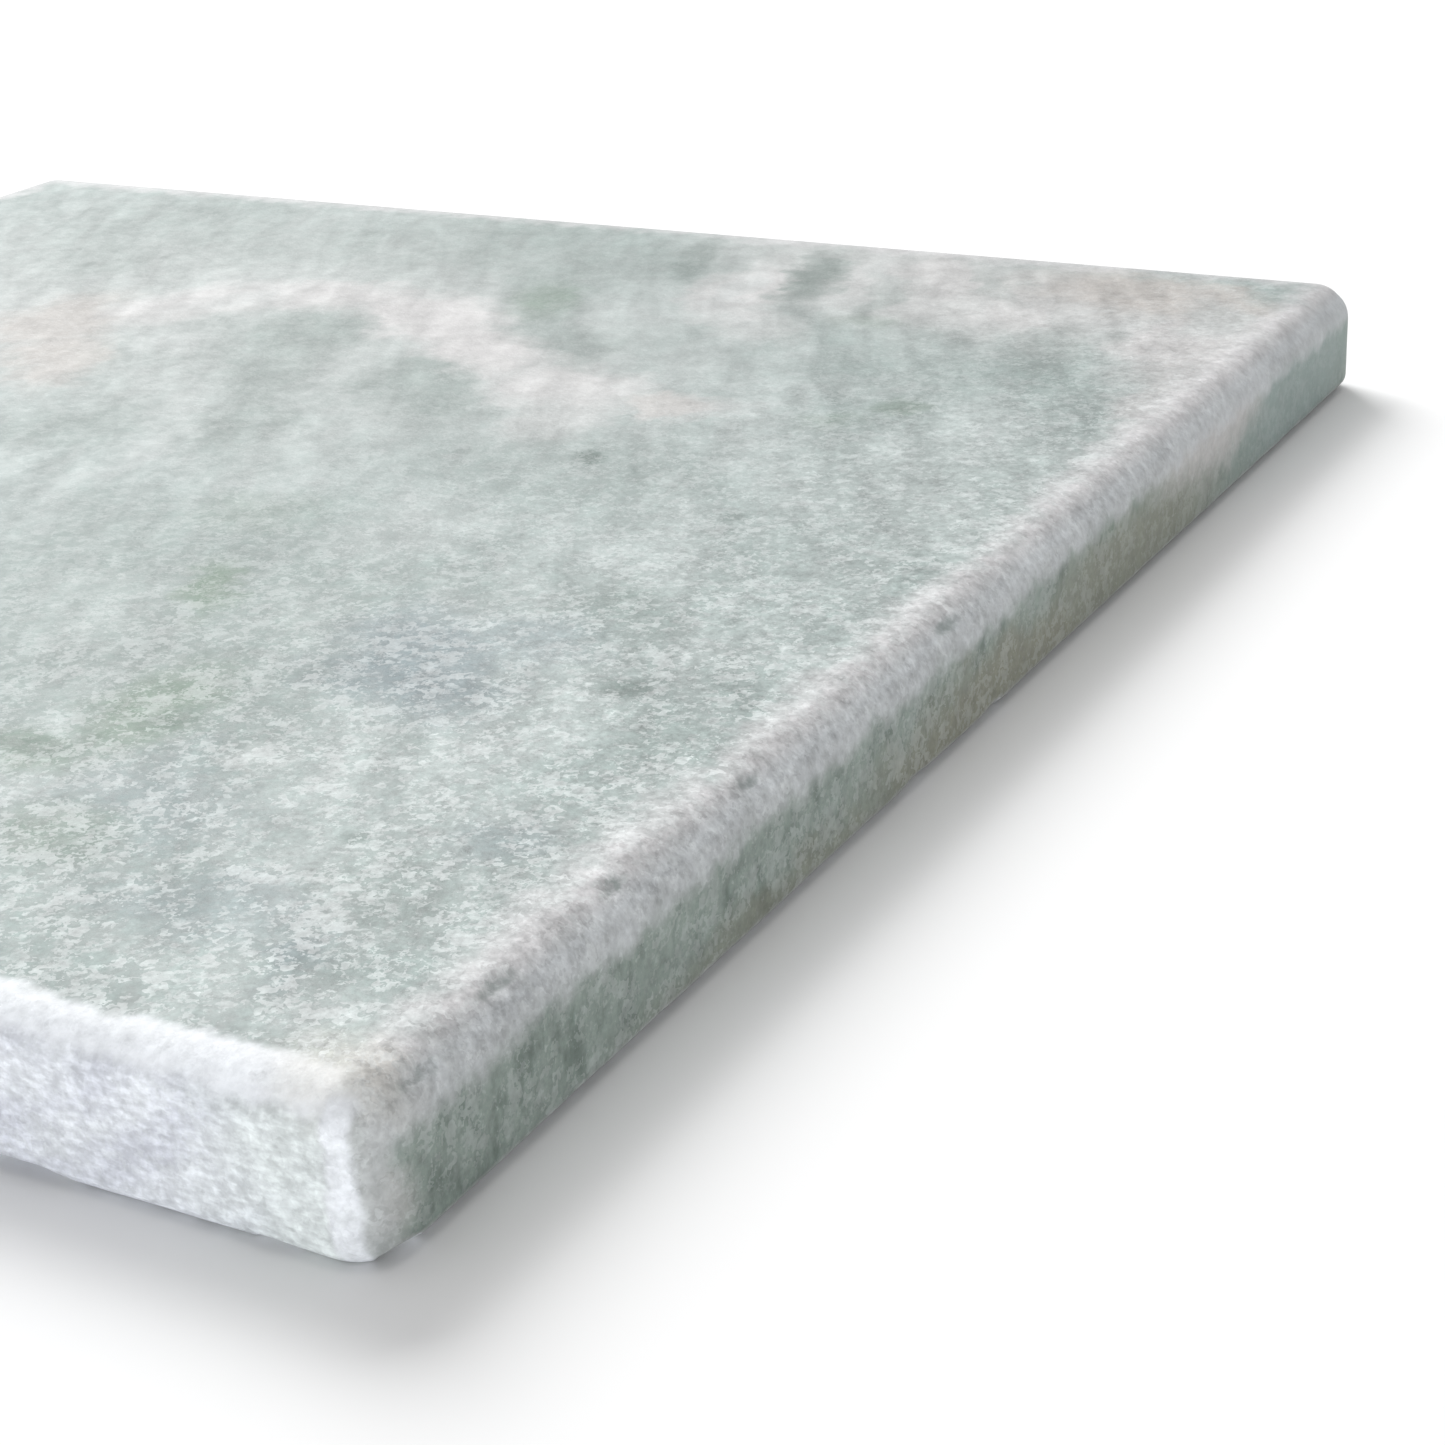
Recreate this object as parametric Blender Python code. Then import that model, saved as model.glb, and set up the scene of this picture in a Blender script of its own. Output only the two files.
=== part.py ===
"""A square slab of honed, tumbled stone, made as a firm base for tooling and stamping leather.

The slab is one solid piece of stone. Its top rim and its upright corners are rounded over,
its bottom rim is eased, and the bottom rim carries a few small chips.

Frame: the origin is the centre of the resting face. +X runs along the front edge to the
right, +Y runs from the front edge to the back edge, and +Z points up. Lengths are in metres.
"""

import math

import bmesh
import bpy
from mathutils import Matrix, Vector

# Overall size
SLAB_LENGTH = 0.3048  # along X, 12 in
SLAB_WIDTH = 0.3048  # along Y, 12 in
SLAB_THICKNESS = 0.01905  # along Z, 3/4 in

# Rounded edges
TOP_RIM_RADIUS = 0.0060  # from the working face down to the sides
FACE_CORNER_RADIUS = 0.0005  # the corners of the flat working face, inside the rim's round
CORNER_RADIUS = TOP_RIM_RADIUS + FACE_CORNER_RADIUS  # the four upright corners
BOTTOM_RIM_RADIUS = 0.0030  # from the sides down to the resting face

# How finely each round is divided
CORNER_STEPS = 10
TOP_RIM_STEPS = 8
BOTTOM_RIM_STEPS = 5
CHIP_SPHERE_STEPS = 3

# Chips out of the bottom rim: the side, how far along it from the front right corner
# (left and right sides) or from the right end (front and back sides), the chip's length
# along the rim, how far in from the side it reaches, and how far up the side it reaches.
CHIPS = {
    "front_corner_chip": ("right", 0.0045, 0.0065, 0.0012, 0.0016),
    "front_small_chip": ("front", 0.0140, 0.0045, 0.0011, 0.0014),
    "front_long_chip": ("front", 0.0450, 0.0150, 0.0010, 0.0013),
    "right_first_chip": ("right", 0.1180, 0.0110, 0.0012, 0.0017),
    "right_second_chip": ("right", 0.1420, 0.0090, 0.0013, 0.0018),
    "back_chip": ("back", 0.0900, 0.0120, 0.0014, 0.0019),
    "left_chip": ("left", 0.2050, 0.0100, 0.0012, 0.0016),
}
SHORTEST_CORNER_GAP = 0.0010  # stone left between a chip and the end of its side

# Stone's finish
STONE_COLOUR = (0.55, 0.61, 0.58, 1.0)
STONE_ROUGHNESS = 0.55
STONE_METALLIC = 0.0

SMOOTH_BELOW = math.radians(35)


def clear_scene():
    for obj in list(bpy.data.objects):
        bpy.data.objects.remove(obj, do_unlink=True)


def stone_material():
    material = bpy.data.materials.new("stone")
    material.use_nodes = True
    shader = material.node_tree.nodes["Principled BSDF"]
    shader.inputs["Base Color"].default_value = STONE_COLOUR
    shader.inputs["Roughness"].default_value = STONE_ROUGHNESS
    shader.inputs["Metallic"].default_value = STONE_METALLIC
    return material


def new_object(name, bm):
    mesh = bpy.data.meshes.new(name)
    bm.to_mesh(mesh)
    bm.free()
    obj = bpy.data.objects.new(name, mesh)
    bpy.context.scene.collection.objects.link(obj)
    return obj


def both_ends(edge, test):
    return all(test(vert.co) for vert in edge.verts)


def round_edges(bm, edges, radius, steps):
    bmesh.ops.bevel(
        bm,
        geom=edges,
        offset=radius,
        offset_type="OFFSET",
        segments=steps,
        profile=0.5,
        affect="EDGES",
        clamp_overlap=True,
    )


def slab_blank():
    """The slab before it is chipped: a block with rounded corners and rims."""
    bm = bmesh.new()
    bmesh.ops.create_cube(bm, size=1.0)
    bmesh.ops.scale(bm, vec=(SLAB_LENGTH, SLAB_WIDTH, SLAB_THICKNESS), verts=bm.verts)
    bmesh.ops.translate(bm, vec=(0, 0, SLAB_THICKNESS / 2), verts=bm.verts)

    uprights = [e for e in bm.edges if abs(e.verts[0].co.z - e.verts[1].co.z) > SLAB_THICKNESS / 2]
    round_edges(bm, uprights, CORNER_RADIUS, CORNER_STEPS)

    middle = SLAB_THICKNESS / 2
    top_rim = [e for e in bm.edges if both_ends(e, lambda co: co.z > middle)]
    round_edges(bm, top_rim, TOP_RIM_RADIUS, TOP_RIM_STEPS)

    bottom_rim = [e for e in bm.edges if both_ends(e, lambda co: co.z < 1e-6)]
    round_edges(bm, bottom_rim, BOTTOM_RIM_RADIUS, BOTTOM_RIM_STEPS)
    return new_object("stone_slab", bm)


def rim_point(side, along, length):
    """A point on the sharp bottom edge of a side, the way along that edge, and the way out."""
    x, y = SLAB_LENGTH / 2, SLAB_WIDTH / 2
    sides = {
        "front": (Vector((x, -y, 0)), Vector((-1, 0, 0)), Vector((0, -1, 0)), SLAB_LENGTH),
        "back": (Vector((x, y, 0)), Vector((-1, 0, 0)), Vector((0, 1, 0)), SLAB_LENGTH),
        "right": (Vector((x, -y, 0)), Vector((0, 1, 0)), Vector((1, 0, 0)), SLAB_WIDTH),
        "left": (Vector((-x, -y, 0)), Vector((0, 1, 0)), Vector((-1, 0, 0)), SLAB_WIDTH),
    }
    start, way, out, side_length = sides[side]
    end_gap = length / 2 + SHORTEST_CORNER_GAP
    return start + way * min(max(along, end_gap), side_length - end_gap), way, out


def chip_cutter(name, side, along, length, inward, upward):
    """A flattened ball that takes a shell-shaped flake out of the bottom rim.

    The rim's round has already taken the sharp edge away, so the ball's middle sits on
    the sharp edge and its reach is counted from the rim's round, half-way round.
    """
    centre, way, out = rim_point(side, along, length)
    eased = BOTTOM_RIM_RADIUS * (1 - math.sqrt(0.5))
    reach_in = eased + inward
    reach_up = eased + upward
    bm = bmesh.new()
    bmesh.ops.create_icosphere(bm, subdivisions=CHIP_SPHERE_STEPS, radius=1.0)
    turn = Matrix((way, out, Vector((0, 0, 1)))).transposed().to_4x4()
    sized = Matrix.Diagonal((length / 2, reach_in, reach_up, 1.0))
    bmesh.ops.transform(bm, matrix=Matrix.Translation(centre) @ turn @ sized, verts=bm.verts)
    bmesh.ops.recalc_face_normals(bm, faces=bm.faces)
    cutter = new_object(name, bm)
    cutter.hide_render = True
    cutter.display_type = "WIRE"
    return cutter


def cut(slab, cutter):
    modifier = slab.modifiers.new(cutter.name, "BOOLEAN")
    modifier.operation = "DIFFERENCE"
    modifier.solver = "EXACT"
    modifier.object = cutter


def make_slab():
    slab = slab_blank()
    slab.data.materials.append(stone_material())
    slab.data.shade_smooth()
    slab.data.set_sharp_from_angle(angle=SMOOTH_BELOW)
    for name, (side, along, length, inward, upward) in CHIPS.items():
        cut(slab, chip_cutter(name, side, along, length, inward, upward))
    return slab


clear_scene()
make_slab()
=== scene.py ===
"""The granite slab as it is seen: honed pale green stone with tumbled, whitened rims. Its colours also
carry painted light on the front face, painted highlight on the front rim and corner ridges, and painted
shade on the sides, corners and dents.
"""

import math
from types import SimpleNamespace

import bmesh
import bpy
from mathutils import Matrix, Vector, noise


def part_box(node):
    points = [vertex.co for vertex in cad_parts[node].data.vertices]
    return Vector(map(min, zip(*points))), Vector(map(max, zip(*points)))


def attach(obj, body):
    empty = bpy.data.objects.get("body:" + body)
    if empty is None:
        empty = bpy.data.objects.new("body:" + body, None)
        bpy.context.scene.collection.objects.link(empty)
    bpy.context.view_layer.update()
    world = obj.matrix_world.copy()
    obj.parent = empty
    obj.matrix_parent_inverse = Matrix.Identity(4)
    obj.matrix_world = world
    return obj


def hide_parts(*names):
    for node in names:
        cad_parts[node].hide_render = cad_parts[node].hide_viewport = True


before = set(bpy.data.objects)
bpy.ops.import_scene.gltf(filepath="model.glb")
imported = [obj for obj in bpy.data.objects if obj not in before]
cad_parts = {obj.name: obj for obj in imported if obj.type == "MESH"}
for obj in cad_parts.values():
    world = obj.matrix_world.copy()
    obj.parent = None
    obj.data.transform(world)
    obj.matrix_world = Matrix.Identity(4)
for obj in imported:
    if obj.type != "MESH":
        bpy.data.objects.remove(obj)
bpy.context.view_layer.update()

MM = 0.001

# The slab's size comes from its CAD node, and its rounds repeat that part's values.
low, high = (Vector(corner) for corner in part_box("stone_slab"))
HALF_LENGTH = (high.x - low.x) / 2
HALF_WIDTH = (high.y - low.y) / 2
THICKNESS = high.z - low.z
TOP_RIM = 6.0 * MM  # how far in from a side the working face ends
BOTTOM_RIM = 3.0 * MM
CORNER = 6.5 * MM
FRONT_RIM_DROP = 4.2 * MM  # the front rim reaches down less than TOP_RIM, as the others do

# How finely the stone is divided
SIDE_STEPS = 390  # along each side, a multiple of GRID_STEP
GRID_STEP = 6  # side steps to one step of the flat faces' grid
CORNER_STEPS = 14
TOP_RIM_STEPS = 14
SIDE_ROWS = 12
BOTTOM_RIM_STEPS = 7
PER_SIDE = SIDE_STEPS + CORNER_STEPS

# How uneven the tumbled stone is: (size of the lumps, how deep they go)
RIM_WEAR = [(24 * MM, 0.22 * MM), (8 * MM, 0.18 * MM), (3.2 * MM, 0.07 * MM)]
SIDE_WEAR = [(9 * MM, 0.07 * MM), (2.4 * MM, 0.05 * MM)]

# Chips out of the bottom rim, within 0.5 mm of where the CAD part has them but cut deeper: the
# side, how far along from the front (left and right sides) or from the right end (front and
# back sides), the chip's length, how far in it reaches, and how far up. All are in mm.
CHIPS = [
    ("right", 5.0, 6.5, 3.4, 1.5),
    ("front", 13.5, 6.0, 2.8, 1.0),
    ("front", 45.0, 16.0, 3.2, 1.3),
    ("right", 118.0, 11.0, 2.2, 1.3),
    ("right", 142.0, 9.0, 2.4, 1.4),
    ("back", 90.0, 12.0, 1.8, 1.8),
    ("left", 205.0, 10.0, 1.6, 1.6),
]

# Dents in the top rim, in mm: the side, how far along it, how far in from the side, how far
# below the working face, the dent's length, its width and its depth.
DENTS = [
    ("right", 10.5, 1.4, 2.0, 5.5, 2.2, 0.55),
    ("right", 26.0, 2.8, 0.9, 6.0, 2.2, 0.50),
    ("right", 49.0, 3.0, 0.8, 4.5, 2.0, 0.45),
    ("right", 78.0, 2.4, 1.1, 4.0, 2.6, 0.35),
    ("right", 131.0, 1.8, 1.8, 6.0, 2.6, 0.35),
    ("back", 56.0, 2.6, 1.0, 7.0, 3.4, 0.50),
    ("back", 137.0, 2.6, 1.0, 9.0, 3.4, 0.50),
    ("back", 186.0, 2.6, 1.0, 6.0, 3.4, 0.45),
    ("left", 120.0, 2.4, 1.2, 8.0, 3.0, 0.45),
]


# ---------------------------------------------------------------- the stone's shape


def side_frame(side):
    """The end of this side that chips are measured from, the way along it, and the way out."""
    return {
        "right": (Vector((HALF_LENGTH, -HALF_WIDTH, 0)), Vector((0, 1, 0)), Vector((1, 0, 0))),
        "left": (Vector((-HALF_LENGTH, -HALF_WIDTH, 0)), Vector((0, 1, 0)), Vector((-1, 0, 0))),
        "front": (Vector((HALF_LENGTH, -HALF_WIDTH, 0)), Vector((-1, 0, 0)), Vector((0, -1, 0))),
        "back": (Vector((HALF_LENGTH, HALF_WIDTH, 0)), Vector((-1, 0, 0)), Vector((0, 1, 0))),
    }[side]


def side_stations():
    """Points round the slab, anticlockwise seen from above, from the right side's front end.

    Each is (a point on the sides' upright face, the way out there, the distance round).
    """
    stations = []
    for side in range(4):
        out_angle = math.radians(90 * side)
        out = Vector((math.cos(out_angle), math.sin(out_angle), 0))
        way = Vector((-out.y, out.x, 0))
        reach = HALF_LENGTH if side % 2 == 0 else HALF_WIDTH
        run = (HALF_WIDTH if side % 2 == 0 else HALF_LENGTH) - CORNER
        for step in range(SIDE_STEPS + 1):
            along = run * (2 * step / SIDE_STEPS - 1)
            stations.append((out * reach + way * along, out))
        centre = out * (reach - CORNER) + way * run
        for step in range(1, CORNER_STEPS):
            angle = out_angle + math.radians(90) * step / CORNER_STEPS
            turned = Vector((math.cos(angle), math.sin(angle), 0))
            stations.append((centre + turned * CORNER, turned))
    return stations


def rim_profile(drop):
    """The section through a side, from the working face down: (inset, height, outward, up).

    The top rim reaches in by TOP_RIM and down by drop.
    """
    rows = []
    for step in range(TOP_RIM_STEPS + 1):
        angle = math.radians(90) * (1 - step / TOP_RIM_STEPS)
        inset = TOP_RIM * (1 - math.cos(angle))
        rows.append((inset, THICKNESS - drop * (1 - math.sin(angle)), math.cos(angle), math.sin(angle)))
    straight = THICKNESS - drop - BOTTOM_RIM
    for step in range(1, SIDE_ROWS):
        rows.append((0.0, THICKNESS - drop - straight * step / SIDE_ROWS, 1.0, 0.0))
    for step in range(BOTTOM_RIM_STEPS + 1):
        angle = math.radians(90) * step / BOTTOM_RIM_STEPS
        inset = BOTTOM_RIM * (1 - math.cos(angle))
        rows.append((inset, BOTTOM_RIM * (1 - math.sin(angle)), math.cos(angle), -math.sin(angle)))
    return rows


def lumps(point, layers):
    """How deep the uneven surface lies at this point: never above the smooth one."""
    return sum(depth * (0.5 + 0.5 * noise.noise(point / size)) for size, depth in layers)


def pushed_by_chip(point, chip):
    """The point, moved out of the ball that the chip was struck along."""
    side, along, length, inward, upward = chip
    start, way, out = side_frame(side)
    eased = BOTTOM_RIM * (1 - math.sqrt(0.5))
    reach = (length * MM / 2, eased + inward * MM, eased + upward * MM)
    offset = point - start - way * along * MM
    scaled = Vector((offset.dot(way) / reach[0], offset.dot(out) / reach[1], offset.z / reach[2]))
    rough = 1 + 0.16 * noise.noise(point / (2.2 * MM))
    if scaled.length >= rough:
        return point
    scaled *= rough / max(scaled.length, 1e-6)
    moved = way * scaled.x * reach[0] + out * scaled.y * reach[1]
    return start + way * along * MM + moved + Vector((0, 0, scaled.z * reach[2]))


def dent_depth(point, dent):
    side, along, inset, drop, length, width, depth = dent
    start, way, out = side_frame(side)
    centre = start + way * along * MM - out * inset * MM + Vector((0, 0, THICKNESS - drop * MM))
    offset = point - centre
    across = offset - way * offset.dot(way)
    spread = math.hypot(offset.dot(way) / (length * MM / 2), across.length / (width * MM / 2))
    spread += 0.35 * noise.noise(point / (1.6 * MM))
    return depth * MM * (1 - spread**2) if abs(spread) < 1 else 0.0


def worn_point(point, normal, flat_share):
    """The point after tumbling: rims worn most, then the dents and the bottom chips."""
    depth = (1 - flat_share) * lumps(point, RIM_WEAR) + (1 - abs(normal.z)) * lumps(point, SIDE_WEAR)
    if normal.z > 0.02:
        depth += sum(dent_depth(point, dent) for dent in DENTS)
    point = point - normal * depth
    if point.z < 6 * MM:
        for chip in CHIPS:
            point = pushed_by_chip(point, chip)
    return point


def flat_grid(bm, height):
    """Points of the grid that fills a flat face, as rows from front to back."""
    steps = SIDE_STEPS // GRID_STEP
    run_x, run_y = HALF_LENGTH - CORNER, HALF_WIDTH - CORNER
    return [
        [
            bm.verts.new((run_x * (2 * i / steps - 1), run_y * (2 * j / steps - 1), height))
            for i in range(steps + 1)
        ]
        for j in range(steps + 1)
    ]


def grid_edge(grid, side):
    """The grid's outer points along one side, in the order of the stations."""
    if side == 0:
        return [row[-1] for row in grid]
    if side == 1:
        return grid[-1][::-1]
    if side == 2:
        return [row[0] for row in grid][::-1]
    return grid[0]


def join_grid(bm, grid, ring, facing_up):
    """Closes a flat face with the grid's squares and a band of triangles out to the ring."""
    made = []

    def face(*points):
        made.append(bm.faces.new(points if facing_up else points[::-1]))

    for j in range(len(grid) - 1):
        for i in range(len(grid) - 1):
            face(grid[j][i], grid[j][i + 1], grid[j + 1][i + 1], grid[j + 1][i])
    for side in range(4):
        edge = grid_edge(grid, side)
        start = side * PER_SIDE
        for step in range(len(edge) - 1):
            near, far = edge[step], edge[step + 1]
            outer = [ring[start + GRID_STEP * step + extra] for extra in range(GRID_STEP + 1)]
            split = GRID_STEP // 2 + 1
            for k in range(GRID_STEP):
                face(near if k < split else far, outer[k], outer[k + 1])
            face(near, outer[split], far)
        for step in range(CORNER_STEPS):
            first = start + SIDE_STEPS + step
            face(edge[-1], ring[first], ring[(first + 1) % len(ring)])
    return made


# The flat map of the stone's surface, for textures made from it. Its faces' islands, as
# shares of the map: the working face, the four sides' strips, and the underside's halves.
MAP_MARGIN = 0.010
MAP_SCALE = 0.715 / (2 * (HALF_LENGTH - TOP_RIM))
STRIP_START = 0.735
STRIP_PITCH = 0.065
STRIP_WIDTH = 0.059
UNDERSIDE_SCALE = 0.454 / (2 * (HALF_LENGTH - BOTTOM_RIM))
UNDERSIDE_HALVES = [(0.010, 0.760), (0.500, 0.760)]


def map_top(layer, faces):
    for face in faces:
        for loop in face.loops:
            x, y = loop.vert.co.xy
            u = MAP_MARGIN + (x + HALF_LENGTH - TOP_RIM) * MAP_SCALE
            v = MAP_MARGIN + (y + HALF_WIDTH - TOP_RIM) * MAP_SCALE
            loop[layer].uv = (u, v)


def map_underside(layer, faces, middle):
    """Two halves side by side, split along the grid line at y = middle."""
    for face in faces:
        back = face.calc_center_median().y > middle
        start_u, start_v = UNDERSIDE_HALVES[back]
        front_edge = middle if back else -(HALF_WIDTH - BOTTOM_RIM)
        for loop in face.loops:
            x, y = loop.vert.co.xy
            u = start_u + (HALF_LENGTH - BOTTOM_RIM - x) * UNDERSIDE_SCALE
            loop[layer].uv = (u, start_v + (y - front_edge) * UNDERSIDE_SCALE)


def strip_place(station):
    """Which side's strip the faces after this station lie in, and how far up it they start."""
    side, step = divmod(station, PER_SIDE)
    arc = math.radians(90) * CORNER / CORNER_STEPS
    run = 2 * ((HALF_WIDTH if side % 2 == 0 else HALF_LENGTH) - CORNER)
    before = CORNER_STEPS / 2 * arc
    if step < SIDE_STEPS:
        return side, before + run * step / SIDE_STEPS, run / SIDE_STEPS
    if step < SIDE_STEPS + CORNER_STEPS // 2:
        return side, before + run + (step - SIDE_STEPS) * arc, arc
    return (side + 1) % 4, (step - SIDE_STEPS - CORNER_STEPS // 2) * arc, arc


def map_side(layer, face, station, row, rows):
    side, start, length = strip_place(station)
    u_start = STRIP_START + STRIP_PITCH * side
    u = [u_start + STRIP_WIDTH * at / rows for at in (row, row + 1)]
    v = [MAP_MARGIN + at * MAP_SCALE for at in (start, start + length)]
    for loop, place in zip(face.loops, ((u[0], v[0]), (u[1], v[0]), (u[1], v[1]), (u[0], v[1]))):
        loop[layer].uv = place


def stone_mesh():
    bm = bmesh.new()
    layer = bm.loops.layers.uv.new("OFBake")
    rings = []
    for point, out in side_stations():
        drop = TOP_RIM - (TOP_RIM - FRONT_RIM_DROP) * max(0.0, -out.y) ** 2
        column = []
        for inset, height, outward, up in rim_profile(drop):
            smooth = point - out * inset + Vector((0, 0, height))
            normal = out * outward + Vector((0, 0, up))
            flat_share = abs(outward**2 - up**2)
            column.append(bm.verts.new(worn_point(smooth, normal, flat_share)))
        rings.append(column)
    count, rows = len(rings), len(rings[0]) - 1
    for i in range(count):
        here, there = rings[i], rings[(i + 1) % count]
        for row in range(rows):
            face = bm.faces.new((here[row], here[row + 1], there[row + 1], there[row]))
            map_side(layer, face, i, row, rows)
    top_grid, bottom_grid = flat_grid(bm, THICKNESS), flat_grid(bm, 0.0)
    map_top(layer, join_grid(bm, top_grid, [column[0] for column in rings], facing_up=True))
    middle = bottom_grid[len(bottom_grid) // 2][0].co.y
    underside = join_grid(bm, bottom_grid, [column[-1] for column in rings], facing_up=False)
    map_underside(layer, underside, middle)
    mesh = bpy.data.meshes.new("slab_stone")
    bm.to_mesh(mesh)
    bm.free()
    mesh.shade_smooth()
    return mesh


def add_piece(name, mesh):
    piece = bpy.data.objects.new(name, mesh)
    bpy.context.scene.collection.objects.link(piece)
    return piece


slab = add_piece("slab_stone", stone_mesh())


# ---------------------------------------------------------------- making materials


def make(tree, kind, links=None, **settings):
    """A node of this kind. links gives its inputs by name: another node's socket, or a value."""
    node = tree.nodes.new(kind)
    for name, value in settings.items():
        setattr(node, name, value)
    for name, value in (links or {}).items():
        if isinstance(value, bpy.types.NodeSocket):
            tree.links.new(value, node.inputs[name])
        else:
            node.inputs[name].default_value = value
    return node


def maths(tree, operation, *values):
    return make(tree, "ShaderNodeMath", dict(enumerate(values)), operation=operation).outputs[0]


def product(tree, *values):
    """All of these multiplied together."""
    total = values[0]
    for value in values[1:]:
        total = maths(tree, "MULTIPLY", total, value)
    return total


def vector_maths(tree, operation, *values):
    node = make(tree, "ShaderNodeVectorMath", dict(enumerate(values)), operation=operation)
    return node.outputs["Value" if operation in ("LENGTH", "DOT_PRODUCT") else "Vector"]


def ramp(tree, value, start, end, start_value=0.0, end_value=1.0):
    """value, eased from start_value at start to end_value at end."""
    links = {
        "Value": value,
        "From Min": start,
        "From Max": end,
        "To Min": start_value,
        "To Max": end_value,
    }
    return make(tree, "ShaderNodeMapRange", links, interpolation_type="SMOOTHSTEP").outputs[0]


def blend(tree, amount, first, second):
    """Colour first where amount is 0 and second where it is 1."""
    links = {0: amount, 6: first, 7: second}
    return make(tree, "ShaderNodeMix", links, data_type="RGBA").outputs[2]


def tinted(tree, colour, factor):
    """The colour made lighter or darker by a factor."""
    return vector_maths(tree, "MULTIPLY", colour, factor)


def clouds(tree, place, size, detail=2.0, roughness=0.55, distortion=0.0):
    """Noise from 0 to 1 whose blobs are about size across, in metres."""
    links = {
        "Vector": place,
        "Scale": 1 / size,
        "Detail": detail,
        "Roughness": roughness,
        "Distortion": distortion,
    }
    return make(tree, "ShaderNodeTexNoise", links).outputs


def swing(tree, value, amount):
    """A 0 to 1 value turned into one that swings by amount either side of 0."""
    return maths(tree, "MULTIPLY_ADD", value, 2 * amount, -amount)


def ragged(tree, place, size, reach):
    """The place, shifted this way and that by up to reach, so that outlines turn ragged."""
    wander = clouds(tree, place, size, detail=4.0, roughness=0.6)["Color"]
    centred = vector_maths(tree, "SUBTRACT", wander, (0.5, 0.5, 0.5))
    return vector_maths(tree, "ADD", place, vector_maths(tree, "MULTIPLY", centred, (2 * reach,) * 3))


def new_group(name, inputs, outputs):
    """An empty node group, with the sockets of its input and output nodes."""
    group = bpy.data.node_groups.new(name, "ShaderNodeTree")
    for socket_name, default in inputs.items():
        kind = "NodeSocketFloat" if isinstance(default, float) else "NodeSocketVector"
        socket = group.interface.new_socket(socket_name, in_out="INPUT", socket_type=kind)
        socket.default_value = default
    for socket_name in outputs:
        group.interface.new_socket(socket_name, in_out="OUTPUT", socket_type="NodeSocketFloat")
    entry = group.nodes.new("NodeGroupInput").outputs
    leave = group.nodes.new("NodeGroupOutput").inputs
    return group, entry, leave


def use_group(tree, group, links):
    node = tree.nodes.new("ShaderNodeGroup")
    node.node_tree = group
    for name, value in links.items():
        if isinstance(value, bpy.types.NodeSocket):
            tree.links.new(value, node.inputs[name])
        else:
            node.inputs[name].default_value = value
    return node.outputs


def soft_patch_group():
    """A soft-edged oval: 1 inside it and 0 well outside."""
    inputs = {
        "Place": (0.0, 0.0, 0.0),
        "Centre": (0.0, 0.0, 0.0),
        "Half Size": (0.02, 0.01, 0.02),
        "Turn": 0.0,
        "Softness": 0.5,
    }
    group, entry, leave = new_group("soft_patch", inputs, ["Mask"])
    offset = vector_maths(group, "SUBTRACT", entry["Place"], entry["Centre"])
    back = maths(group, "MULTIPLY", entry["Turn"], -1.0)
    links = {"Vector": offset, "Angle": back}
    turned = make(group, "ShaderNodeVectorRotate", links, rotation_type="Z_AXIS").outputs[0]
    reach = vector_maths(group, "LENGTH", vector_maths(group, "DIVIDE", turned, entry["Half Size"]))
    outside = maths(group, "ADD", 1.0, entry["Softness"])
    inside = maths(group, "SUBTRACT", 1.0, entry["Softness"])
    group.links.new(ramp(group, reach, outside, inside), leave["Mask"])
    return group


def crystal_group():
    """Crystals packed in the stone: a mask of the pale ones, each one's own tone, and a relief."""
    inputs = {"Place": (0.0, 0.0, 0.0), "Size": 0.0015, "Level": 0.7, "Softness": 0.1}
    group, entry, leave = new_group("crystals", inputs, ["Flecks", "Grain", "Relief"])
    scale = maths(group, "DIVIDE", 1.0, entry["Size"])

    def layer(share, detail):
        links = {
            "Vector": entry["Place"],
            "Scale": maths(group, "MULTIPLY", scale, share),
            "Detail": detail,
            "Roughness": 0.6,
        }
        return make(group, "ShaderNodeTexNoise", links).outputs

    # Bent a little, so that the crystals' edges are not straight
    bend = vector_maths(group, "SUBTRACT", layer(1.1, 1.0)["Color"], (0.5, 0.5, 0.5))
    reach = maths(group, "MULTIPLY", entry["Size"], 2.6)
    bent = vector_maths(group, "MULTIPLY_ADD", bend, reach, entry["Place"])
    cells = make(group, "ShaderNodeTexVoronoi", {"Vector": bent, "Scale": scale}).outputs["Color"]
    chance, tone, _ = make(group, "ShaderNodeSeparateColor", {0: cells}).outputs

    chance = maths(group, "ADD", chance, swing(group, layer(0.16, 2.0)["Fac"], 0.7))
    foot = maths(group, "SUBTRACT", entry["Level"], entry["Softness"])
    crest = maths(group, "ADD", entry["Level"], entry["Softness"])
    group.links.new(ramp(group, chance, foot, crest), leave["Flecks"])
    relief = layer(0.62, 3.0)["Fac"]
    grain = maths(group, "MULTIPLY_ADD", maths(group, "SUBTRACT", tone, 0.5), 0.26, relief)
    group.links.new(grain, leave["Grain"])
    group.links.new(relief, leave["Relief"])
    return group


# ---------------------------------------------------------------- the stone's colours

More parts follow.
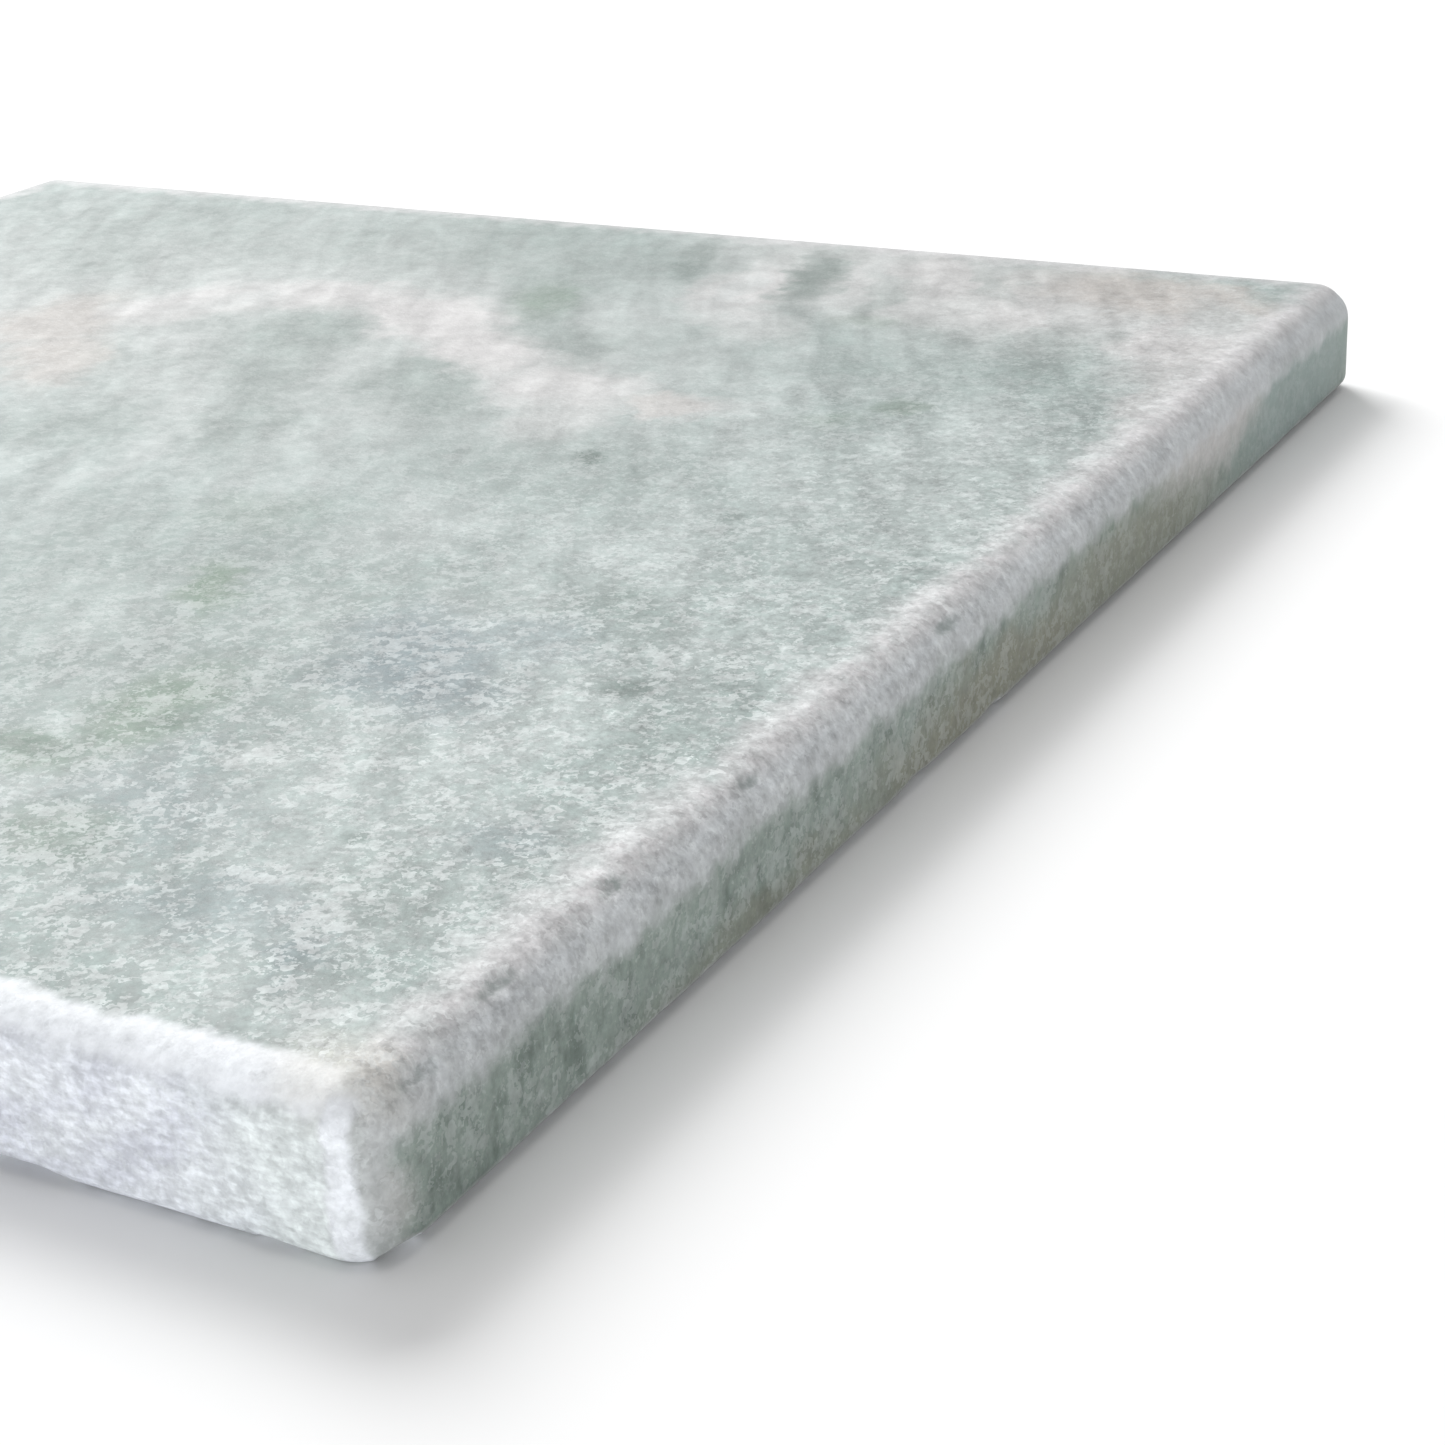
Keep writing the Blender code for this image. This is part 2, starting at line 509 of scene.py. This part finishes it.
# Patches on the working face: (x, y, half length, half width, turn in degrees, strength),
# in mm from the slab's middle
WARM_CLOUDS = [
    (-44, 69, 22, 14, 60, 0.95),
    (-22, 83, 24, 11, 5, 0.95),
    (4, 74, 25, 12.5, -30, 1.0),
    (24, 61, 19, 13, -42, 1.0),
    (48, 48, 17, 13, -40, 0.9),
    (-30, 70, 100, 60, -10, 0.34),
    (56, 33, 14, 8, -60, 0.6),
    (72, 44, 14, 7, 10, 0.7),
    (90, 122, 58, 24, -14, 0.75),
    (50, 110, 22, 11, -70, 0.9),
    (82, 130, 24, 10, -55, 0.9),
    (102, 116, 20, 9, -60, 0.9),
    (62, 92, 16, 8, -60, 0.5),
    (137, 106, 30, 12, -72, 1.0),
    (146, 76, 26, 6, -80, 0.8),
]
TAN_CLOUDS = [
    (-62, 50, 18, 12, -60, 0.9),
    (-46, 31, 16, 9, -52, 0.9),
    (122, 130, 24, 12, -20, 0.9),
    (72, 44, 9, 6, 0, 0.5),
]
WHITE_CLOUDS = [
    (-12, 22, 20, 6, -40, 0.25),
    (5, -2, 18, 3.5, -88, 0.35),
    (-38, 76, 10, 5, 50, 0.6),
    (-34, 48, 7, 6, 0, 0.5),
    (49, 108, 15, 4, -72, 0.8),
    (136, 118, 10, 6, -60, 0.8),
    (128, 28, 20, 40, 0, 0.3),
    (68, 128, 12, 3, -66, 0.6),
    (97, -93, 4, 3, 0, 0.5),
    (66, -20, 9, 14, 20, 0.3),
]
GREEN_CLOUDS = [
    (-22, 124, 50, 22, 0, 0.6),
    (-88, 116, 36, 36, 0, 0.45),
    (-56, 108, 20, 14, 0, 0.4),
    (52, -62, 48, 36, -55, 0.6),
    (20, 20, 40, 18, -60, 0.25),
    (12, 108, 30, 10, -65, 0.8),
    (22, 88, 24, 8, -60, 0.75),
    (38, 72, 16, 7, -45, 0.65),
    (58, 124, 17, 4.5, -80, 0.9),
    (76, 112, 16, 4, -62, 0.6),
    (94, 128, 12, 3.5, -60, 0.45),
    (-12, 60, 18, 10, -60, 1.0),
    (-2, 42, 30, 8, -62, 0.85),
    (27, 38, 20, 8, -45, 0.95),
    (10, 13, 18, 8, -65, 0.8),
    (96, 84, 30, 13, -40, 0.3),
    (82, 100, 10, 6, -50, 0.4),
    (121, 88, 20, 6, -65, 0.4),
    (-84, 92, 14, 12, 0, 0.6),
    (72, 10, 24, 16, -20, 0.4),
    (-18, -2, 12, 16, -50, 0.7),
    (-22, 42, 34, 20, -55, 0.45),
    (112, -38, 11, 6, -50, 0.6),
    (93, -100, 14, 9, -60, 0.7),
    (130, -116, 11, 7, -30, 0.6),
    (84, -118, 11, 8, -60, 0.7),
    (134, -72, 12, 6, -60, 0.4),
]
BLUE_CLOUDS = [
    (96, -61, 18, 11, -45, 1.0),
    (105, -48, 10, 7, 0, 0.6),
    (92, -107, 13, 10, 0, 0.5),
    (112, -126, 12, 7, 0, 0.5),
    (128, -131, 4, 4, 0, 0.7),
    (133, -101, 5, 5, 0, 0.5),
]
DARK_SPOTS = [
    (74, 17, 3.4, 1.8, -50, 1.0),
    (124.6, -59, 3.6, 2.8, 0, 0.8),
    (109, -32, 3.0, 1.6, 30, 0.5),
    (30, 129, 17, 3.4, -72, 0.5),
    (58, 124, 14, 3.6, -82, 0.35),
    (118, -106, 1.6, 1.6, 0, 0.7),
    (108, 1, 2.4, 2.0, 0, 0.4),
    (78, -88, 3.5, 2.4, 60, 0.5),
    (68, -101, 5, 2.4, 0, 0.5),
]
MOSS_SPOTS = [
    (107.6, 55, 3.2, 4.5, 0, 0.5),
    (100, 46, 4, 4, 0, 0.4),
    (54, -50, 10, 3.6, -58, 1.0),
    (74, -86, 13, 7, -80, 0.9),
    (67, -102, 8, 5, 0, 0.8),
    (86, -118, 8, 6, 0, 0.6),
    (18, 93, 11, 5, -62, 0.65),
    (80, 99, 6, 4, 0, 0.3),
    (40, -22, 9, 7, 0, 0.3),
]
# Patches on the right side: (y, z, half length, half height, strength)
PINK_SIDE = [(76, 14, 22, 6, 1.0), (-149, 7, 4, 5, 0.7)]
MOSS_SIDE = [(36, 17, 14, 3.5, 0.7)]
BLUE_SIDE = [(118, 9, 30, 9, 0.8)]
OLIVE_SIDE = [(-60, 1, 40, 5, 0.7), (-10, 3, 40, 7, 1.0), (40, 5, 34, 8, 0.8)]

GREY_GREEN = (0.262, 0.320, 0.306, 1)
PALE_GREEN = (0.356, 0.406, 0.395, 1)
DEEP_GREEN = (0.195, 0.245, 0.228, 1)
WARM_WHITE = (0.515, 0.505, 0.503, 1)
TAN = (0.435, 0.408, 0.385, 1)
COOL_WHITE = (0.460, 0.485, 0.480, 1)
DUSK_BLUE = (0.172, 0.218, 0.236, 1)
MOSS = (0.125, 0.196, 0.136, 1)
SPOT = (0.06, 0.10, 0.085, 1)
CRYSTAL = (0.70, 0.73, 0.73, 1)
# The next two are the sides' mottle, painted dark as shade
SIDE_SHADE_DARK = (0.182, 0.230, 0.202, 1)
SIDE_SHADE_PALE = (0.292, 0.350, 0.316, 1)
SIDE_PINK = (0.55, 0.54, 0.53, 1)
SIDE_BLUE = (0.30, 0.375, 0.36, 1)
SIDE_OLIVE = (0.270, 0.278, 0.222, 1)
# The next three are the front face's streaks, painted bright as light
FRONT_LIT_BLUE = (0.585, 0.600, 0.650, 1)
FRONT_LIT_GREEN = (0.62, 0.665, 0.640, 1)
FRONT_LIT_PALE = (0.665, 0.685, 0.715, 1)
RIM_GREY = (0.630, 0.655, 0.675, 1)
RIM_PINK = (0.610, 0.598, 0.606, 1)
# Painted shade on the upright corners' rounding
CORNER_SHADE_GREY = (0.440, 0.450, 0.448, 1)
CREAM = (0.640, 0.620, 0.565, 1)
# Pale worn skin, made whiter by painted highlight on the front rim and the corner ridges
RIM_WHITE_AND_HIGHLIGHT = (0.78, 0.80, 0.83, 1)


def patches(tree, group, place, spots, softness):
    """The strongest of these spots' masks at each point of the working face."""
    total = 0.0
    for x, y, half_length, half_width, turn, strength in spots:
        links = {
            "Place": place,
            "Centre": (x * MM, y * MM, THICKNESS),
            "Half Size": (half_length * MM, half_width * MM, 1.0),
            "Turn": math.radians(turn),
            "Softness": softness,
        }
        mask = use_group(tree, group, links)["Mask"]
        total = maths(tree, "MAXIMUM", total, maths(tree, "MULTIPLY", mask, strength))
    return total


def side_patches(tree, group, place, spots):
    """The strongest of these spots' masks at each point of the right side."""
    total = 0.0
    for y, z, half_length, half_height, strength in spots:
        links = {
            "Place": place,
            "Centre": (HALF_LENGTH, y * MM, z * MM),
            "Half Size": (0.02, half_length * MM, half_height * MM),
            "Softness": 0.5,
        }
        mask = use_group(tree, group, links)["Mask"]
        total = maths(tree, "MAXIMUM", total, maths(tree, "MULTIPLY", mask, strength))
    return total


def face_colour(tree, place, patch):
    """The working face: grey green with slanting drifts, clouds of other tones, and spots."""
    links = {"Vector": place, "Angle": math.radians(62)}
    slanted = make(tree, "ShaderNodeVectorRotate", links, rotation_type="Z_AXIS").outputs[0]
    drawn_out = vector_maths(tree, "MULTIPLY", slanted, (0.5, 1.0, 1.0))
    slow = clouds(tree, drawn_out, 0.020, detail=5, roughness=0.66, distortion=0.7)["Fac"]
    colour = blend(tree, ramp(tree, slow, 0.32, 0.68), GREY_GREEN, PALE_GREEN)
    longer = vector_maths(tree, "MULTIPLY", slanted, (0.26, 1.0, 1.0))
    streaks = clouds(tree, longer, 0.0056, detail=2.4, roughness=0.5, distortion=0.4)["Fac"]
    wide = ragged(tree, ragged(tree, place, 0.022, 0.012), 0.006, 0.005)
    for spots, tone, softness, strength in (
        (WARM_CLOUDS, WARM_WHITE, 0.6, 0.95),
        (TAN_CLOUDS, TAN, 0.5, 0.9),
        (GREEN_CLOUDS, DEEP_GREEN, 0.55, 0.75),
        (BLUE_CLOUDS, DUSK_BLUE, 0.6, 0.8),
        (WHITE_CLOUDS, COOL_WHITE, 0.6, 0.9),
    ):
        mask = patches(tree, patch, wide, spots, softness)
        colour = blend(tree, product(tree, mask, strength), colour, tone)
    colour = tinted(tree, colour, maths(tree, "ADD", 1.0, swing(tree, streaks, 0.38)))
    close = ragged(tree, place, 0.006, 0.006)
    moss = patches(tree, patch, close, MOSS_SPOTS, 0.7)
    colour = blend(tree, product(tree, moss, 0.75), colour, MOSS)
    tight = ragged(tree, place, 0.0025, 0.0028)
    dark = patches(tree, patch, tight, DARK_SPOTS, 0.6)
    return blend(tree, product(tree, dark, 0.7), colour, SPOT)


def upright_colour(tree, place, patch, front):
    """The sides: darker green round most of the slab, the stone's mottle painted dark as shade, and
    bluish white along the front, its streaks painted bright as light.
    """
    tall = vector_maths(tree, "MULTIPLY", place, (1.0, 1.0, 0.5))
    mottle = clouds(tree, tall, 0.0036, detail=4, roughness=0.62)["Fac"]
    # The sides' mottle, painted dark as shade
    colour = blend(tree, ramp(tree, mottle, 0.30, 0.54), SIDE_SHADE_DARK, SIDE_SHADE_PALE)
    wide = ragged(tree, place, 0.010, 0.006)
    for spots, tone in (
        (OLIVE_SIDE, SIDE_OLIVE),
        (BLUE_SIDE, SIDE_BLUE),
        (MOSS_SIDE, MOSS),
        (PINK_SIDE, SIDE_PINK),
    ):
        colour = blend(tree, side_patches(tree, patch, wide, spots), colour, tone)
    links = {"Vector": place, "Angle": math.radians(24), "Axis": (0, 1, 0)}
    slanted = make(tree, "ShaderNodeVectorRotate", links, rotation_type="AXIS_ANGLE").outputs[0]
    long = vector_maths(tree, "MULTIPLY", slanted, (0.35, 1.0, 1.0))
    streaks = clouds(tree, long, 0.0055, detail=3, roughness=0.55)["Fac"]
    # The front face, painted bright as light over its own streaks
    lit_front_colour = blend(tree, ramp(tree, streaks, 0.34, 0.66), FRONT_LIT_BLUE, FRONT_LIT_PALE)
    from_corner = make(tree, "ShaderNodeSeparateXYZ", {0: wide}).outputs[0]
    greener = ramp(tree, from_corner, HALF_LENGTH - 26 * MM, HALF_LENGTH - 10 * MM, 0.0, 0.7)
    lit_front_colour = blend(tree, greener, lit_front_colour, FRONT_LIT_GREEN)
    dashes = clouds(tree, vector_maths(tree, "MULTIPLY", place, (0.45, 1.0, 1.1)), 0.0009, detail=2)
    lit_front_colour = tinted(tree, lit_front_colour, ramp(tree, dashes["Fac"], 0.36, 0.68, 0.90, 1.17))
    return blend(tree, front, colour, lit_front_colour)


def dent_shade_mask(tree, place, patch):
    """Where the top rim's dents lie, to be painted darker as shade in the hollows."""
    total = 0.0
    for side, along, inset, drop, length, width, _ in DENTS:
        start, way, out = side_frame(side)
        centre = start + way * along * MM - out * inset * MM + Vector((0, 0, THICKNESS - drop * MM))
        size = [length * MM * 0.50 if abs(axis) > 0.5 else width * MM * 0.33 for axis in way]
        links = {"Place": place, "Centre": centre, "Half Size": size, "Softness": 0.6}
        total = maths(tree, "MAXIMUM", total, use_group(tree, patch, links)["Mask"])
    return total


# How far the rims' pale skin reaches, as (still whole, all gone): in from a side, and down
SKIN_INWARD = (3.4 * MM, 7.4 * MM)
SKIN_DOWN = (3.2 * MM, 7.6 * MM)
BLUSH_INWARD = (6.0 * MM, 11.0 * MM)
# The front rim's white band: worn skin and painted highlight
FRONT_SKIN_AND_HIGHLIGHT_INWARD = (4.6 * MM, 6.8 * MM)
FRONT_SKIN_AND_HIGHLIGHT_DOWN = (1.4 * MM, 3.2 * MM)

# The crystals: their size, and the level above which one is a pale fleck
COARSE_CRYSTALS = {"Size": 1.4 * MM, "Level": 0.80, "Softness": 0.12}
FINE_CRYSTALS = {"Size": 0.7 * MM, "Level": 0.78, "Softness": 0.12}
RELIEF_DEPTH = 0.12 * MM


def fading(tree, value, span):
    """1 up to the start of the span, and 0 past its end."""
    whole, gone = span
    return ramp(tree, value, gone, whole)


def without(tree, mask, share):
    """1, less this share of the mask."""
    return maths(tree, "SUBTRACT", 1.0, product(tree, mask, share))


def stone_places(tree):
    """Where each point of the stone lies: in from the sides, down, and on which side."""
    coordinates = make(tree, "ShaderNodeTexCoord").outputs
    x, y, z = make(tree, "ShaderNodeSeparateXYZ", {0: coordinates["Object"]}).outputs
    from_right = maths(tree, "SUBTRACT", HALF_LENGTH, x)
    from_left = maths(tree, "ADD", HALF_LENGTH, x)
    from_front = maths(tree, "ADD", HALF_WIDTH, y)
    from_back = maths(tree, "SUBTRACT", HALF_WIDTH, y)
    from_ends = maths(tree, "MINIMUM", from_right, from_left)
    down = maths(tree, "SUBTRACT", THICKNESS, z)
    front = ramp(tree, maths(tree, "SUBTRACT", from_ends, from_front), -2.2 * MM, 2.2 * MM)
    side = ramp(tree, down, 2.0 * MM, 6.0 * MM)
    side_top = ramp(tree, down, 0.6 * MM, 1.8 * MM)
    return SimpleNamespace(
        place=coordinates["Object"],
        x=x,
        y=y,
        out_x=make(tree, "ShaderNodeSeparateXYZ", {0: coordinates["Normal"]}).outputs[0],
        down=down,
        from_right=from_right,
        from_hidden_sides=maths(tree, "MINIMUM", from_left, from_back),
        inset=maths(tree, "MINIMUM", from_ends, maths(tree, "MINIMUM", from_front, from_back)),
        front=front,
        behind_front=maths(tree, "SUBTRACT", 1.0, front),
        side=maths(tree, "MAXIMUM", side, product(tree, side_top, front)),
    )


def with_rims(tree, colour, at):
    """The tumbled rims, rubbed pale: greyer on the right, and whiter but narrower on the front, where
    the white is partly painted highlight.

    It gives the colour, where the rims end below, and where the front rim is rubbed and painted with
    highlight.
    """
    rag = swing(tree, clouds(tree, at.place, 0.0040, detail=2.5, roughness=0.5)["Fac"], 3.4 * MM)
    slow_rag = swing(tree, clouds(tree, at.place, 0.017, detail=2)["Fac"], 2.6 * MM)
    rags = maths(tree, "ADD", rag, slow_rag)

    def ragged_inset(share):
        return maths(tree, "ADD", at.inset, product(tree, rags, share))

    def ragged_down(share):
        return maths(tree, "ADD", at.down, product(tree, rags, share))

    begins = fading(tree, maths(tree, "ADD", at.inset, rags), SKIN_INWARD)
    ends = fading(tree, ragged_down(0.7), SKIN_DOWN)
    front_ends = fading(tree, ragged_down(0.35), FRONT_SKIN_AND_HIGHLIGHT_DOWN)
    blush = fading(tree, ragged_inset(1.3), BLUSH_INWARD)
    colour = blend(tree, product(tree, blush, ends, at.behind_front, 0.5), colour, RIM_PINK)
    rim_tone = blend(tree, ramp(tree, at.down, 0.3 * MM, 2.6 * MM), RIM_PINK, RIM_GREY)
    rightward = maths(tree, "SUBTRACT", at.from_hidden_sides, at.from_right)
    rubbed = ramp(tree, rightward, -4 * MM, 4 * MM, 0.5, 0.85)
    colour = blend(tree, product(tree, begins, ends, at.behind_front, rubbed), colour, rim_tone)
    # The front rim's white band is partly painted highlight
    front_begins = fading(tree, ragged_inset(0.6), FRONT_SKIN_AND_HIGHLIGHT_INWARD)
    front_rub_and_highlight = product(tree, front_begins, front_ends, at.front, 0.95)
    return blend(tree, front_rub_and_highlight, colour, RIM_WHITE_AND_HIGHLIGHT), ends, front_rub_and_highlight


def with_stain(tree, colour, at, patch):
    """A cream stain on top of the corner between the front and the right side."""
    links = {
        "Place": ragged(tree, at.place, 0.004, 0.003),
        "Centre": (HALF_LENGTH - TOP_RIM, TOP_RIM - HALF_WIDTH, THICKNESS - 0.5 * MM),
        "Half Size": (7 * MM, 5 * MM, 5 * MM),
        "Softness": 0.7,
    }
    stain = use_group(tree, patch, links)["Mask"]
    return blend(tree, product(tree, stain, 0.55), colour, CREAM)


def with_corners(tree, colour, at):
    """The upright corners: a white ridge toward the front or back, partly wear and partly painted
    highlight and strongest on the front corners, and painted shade in grey round from it.
    """
    turn = maths(tree, "ABSOLUTE", at.out_x)
    uneven = swing(tree, clouds(tree, at.place, 0.0026, detail=3)["Fac"], 0.12)
    turn = maths(tree, "ADD", turn, uneven)
    turning = product(tree, ramp(tree, turn, 0.08, 0.24), at.side)
    # Painted shade: grey on the rounding past the ridge, toward the side
    grey = product(tree, turning, ramp(tree, turn, 1.0, 0.84), 0.7)
    colour = blend(tree, grey, colour, CORNER_SHADE_GREY)
    # The white ridge is partly wear and partly painted highlight, so it is strongest on the front
    # corners
    fore = ramp(tree, at.y, 0.05, -0.05, 0.25, 1.0)
    ridge = product(tree, turning, ramp(tree, turn, 0.66, 0.50), fore, 0.9)
    return blend(tree, ridge, colour, RIM_WHITE_AND_HIGHLIGHT)


def clearness(tree, at, ends, front_rub_and_highlight):
    """How clear the grain is: most at the front right, and fading away to the far left."""
    toward_corner = maths(tree, "SUBTRACT", product(tree, at.x, 0.8), product(tree, at.y, 0.5))
    clear = ramp(tree, toward_corner, -0.025, 0.18, 0.11, 1.0)
    behind = product(tree, ramp(tree, at.from_hidden_sides, 1.0 * MM, 0.0), at.side, 0.8)
    clear = maths(tree, "MAXIMUM", clear, behind)
    clear = product(tree, clear, without(tree, at.side, 0.45))
    on_rim = product(tree, ramp(tree, at.inset, 8.0 * MM, 4.0 * MM), at.behind_front, ends)
    clear = product(tree, clear, without(tree, on_rim, 0.1))
    return product(tree, clear, without(tree, front_rub_and_highlight, 0.6))


def with_grain(tree, colour, at, coarse, fine, clear, front_rub_and_highlight):
    """The colour with pale flecks, each crystal's own tone, and wider blotches."""
    flecks = maths(tree, "MAXIMUM", coarse["Flecks"], product(tree, fine["Flecks"], 0.8))
    colour = blend(tree, product(tree, flecks, clear, 0.46), colour, CRYSTAL)
    grain = maths(tree, "ADD", swing(tree, coarse["Grain"], 0.42), swing(tree, fine["Grain"], 0.30))
    blotch = swing(tree, clouds(tree, at.place, 0.0065, detail=3, roughness=0.6)["Fac"], 0.29)
    blotch = product(tree, blotch, without(tree, front_rub_and_highlight, 0.8))
    blotch = product(tree, blotch, without(tree, at.side, 0.6))
    tone = maths(tree, "ADD", 1.0, maths(tree, "ADD", product(tree, grain, clear), blotch))
    return tinted(tree, colour, tone)


def stone_material():
    material = bpy.data.materials.new("tumbled_stone")
    material.use_nodes = True
    tree = material.node_tree
    shader = tree.nodes["Principled BSDF"]
    patch, crystals = soft_patch_group(), crystal_group()
    at = stone_places(tree)
    coarse = use_group(tree, crystals, {"Place": at.place, **COARSE_CRYSTALS})
    fine = use_group(tree, crystals, {"Place": at.place, **FINE_CRYSTALS})

    colour = face_colour(tree, at.place, patch)
    colour = blend(tree, at.side, colour, upright_colour(tree, at.place, patch, at.front))
    colour, ends, front_rub_and_highlight = with_rims(tree, colour, at)
    colour = with_stain(tree, colour, at, patch)
    colour = with_corners(tree, colour, at)
    clear = clearness(tree, at, ends, front_rub_and_highlight)
    colour = with_grain(tree, colour, at, coarse, fine, clear, front_rub_and_highlight)
    # The dents are painted darker: painted shade in the hollows
    dent_shade = dent_shade_mask(tree, ragged(tree, at.place, 0.0012, 0.0010), patch)
    colour = blend(tree, product(tree, dent_shade, 0.6), colour, DEEP_GREEN)
    tree.links.new(colour, shader.inputs["Base Color"])

    tree.links.new(ramp(tree, coarse["Grain"], 0.3, 0.7, 0.5, 0.62), shader.inputs["Roughness"])
    shader.inputs["Specular IOR Level"].default_value = 0.35
    relief = maths(tree, "ADD", fine["Relief"], product(tree, coarse["Relief"], 0.8))
    links = {"Strength": 0.5, "Distance": RELIEF_DEPTH, "Height": relief}
    bump = make(tree, "ShaderNodeBump", links)
    tree.links.new(bump.outputs[0], shader.inputs["Normal"])
    return material


slab.data.materials.append(stone_material())

# ---------------------------------------------------------------- the camera

CAMERA_PLACE = (0.2872, -0.3187, 0.1483)
CAMERA_TURN = 29.86  # degrees to the left of +Y
CAMERA_DIP = 23.71  # degrees below level
CAMERA_ROLL = -3.06
CAMERA_LENS = 68.08  # mm, as is the sensor's width
SENSOR_WIDTH = 36.0


def add_camera():
    lens = bpy.data.cameras.new("camera")
    lens.sensor_fit = "HORIZONTAL"
    lens.sensor_width = SENSOR_WIDTH
    lens.lens = CAMERA_LENS
    lens.clip_start = 0.01
    lens.clip_end = 100
    camera = bpy.data.objects.new("camera", lens)
    camera.matrix_world = (
        Matrix.Translation(CAMERA_PLACE)
        @ Matrix.Rotation(math.radians(CAMERA_TURN), 4, "Z")
        @ Matrix.Rotation(math.radians(90 - CAMERA_DIP), 4, "X")
        @ Matrix.Rotation(math.radians(CAMERA_ROLL), 4, "Z")
    )
    bpy.context.scene.collection.objects.link(camera)
    bpy.context.scene.camera = camera


add_camera()

# ---------------------------------------------------------------- floor and light

FLOOR_RADIUS = 6.0
FLOOR_COLOUR = (0.9, 0.9, 0.9, 1)
SKY_LIGHT = 0.38
SKY_SEEN = 1.0
# Name, bearing and rise in degrees, distance and size in metres, power in watts, colour
LIGHTS = [
    ("overhead", 0, 87, 3.2, (2.8, 2.8), 24, (1.0, 1.0, 1.0)),
    ("key", 51, 40, 4.0, (2.1, 2.1), 163, (1.0, 1.0, 1.0)),
    ("front_fill", 188, 3.5, 3.0, (1.4, 0.26), 38, (0.93, 0.96, 1.0)),
]


def floor_material():
    material = bpy.data.materials.new("pale_floor")
    material.use_nodes = True
    shader = material.node_tree.nodes["Principled BSDF"]
    shader.inputs["Base Color"].default_value = FLOOR_COLOUR
    shader.inputs["Roughness"].default_value = 0.9
    shader.inputs["Specular IOR Level"].default_value = 0.1
    return material


def floor_mesh():
    mesh = bpy.data.meshes.new("floor")
    bm = bmesh.new()
    bmesh.ops.create_circle(bm, cap_ends=True, radius=FLOOR_RADIUS, segments=64)
    bm.to_mesh(mesh)
    bm.free()
    mesh.materials.append(floor_material())
    return mesh


def soft_light(name, from_angle, rise, distance, size, power, colour):
    """A square soft box aimed at the slab. from_angle is its bearing from +Y, turning left."""
    lamp = bpy.data.lights.new(name, "AREA")
    lamp.shape = "RECTANGLE"
    lamp.size, lamp.size_y = size
    lamp.energy = power
    lamp.color = colour
    light = bpy.data.objects.new(name, lamp)
    bearing, rise = math.radians(from_angle), math.radians(rise)
    flat = Vector((-math.sin(bearing), math.cos(bearing), 0)) * math.cos(rise)
    away = flat + Vector((0, 0, math.sin(rise)))
    light.location = away * distance
    light.rotation_euler = away.to_track_quat("Z", "Y").to_euler()
    light.visible_camera = False
    bpy.context.scene.collection.objects.link(light)


def sky():
    """Even light from all round, seen by the camera as plain white."""
    world = bpy.data.worlds.new("studio")
    world.use_nodes = True
    tree = world.node_tree
    seen = make(tree, "ShaderNodeLightPath").outputs["Is Camera Ray"]
    strength = maths(tree, "MULTIPLY_ADD", seen, SKY_SEEN - SKY_LIGHT, SKY_LIGHT)
    background = tree.nodes["Background"]
    background.inputs["Color"].default_value = (1, 1, 1, 1)
    tree.links.new(strength, background.inputs["Strength"])
    bpy.context.scene.world = world


floor = add_piece("floor", floor_mesh())
sky()
for name, from_angle, rise, distance, size, power, colour in LIGHTS:
    soft_light(name, from_angle, rise, distance, size, power, colour)
bpy.context.scene.view_settings.view_transform = "Standard"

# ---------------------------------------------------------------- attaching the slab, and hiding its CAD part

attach(slab, "root")
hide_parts("stone_slab")
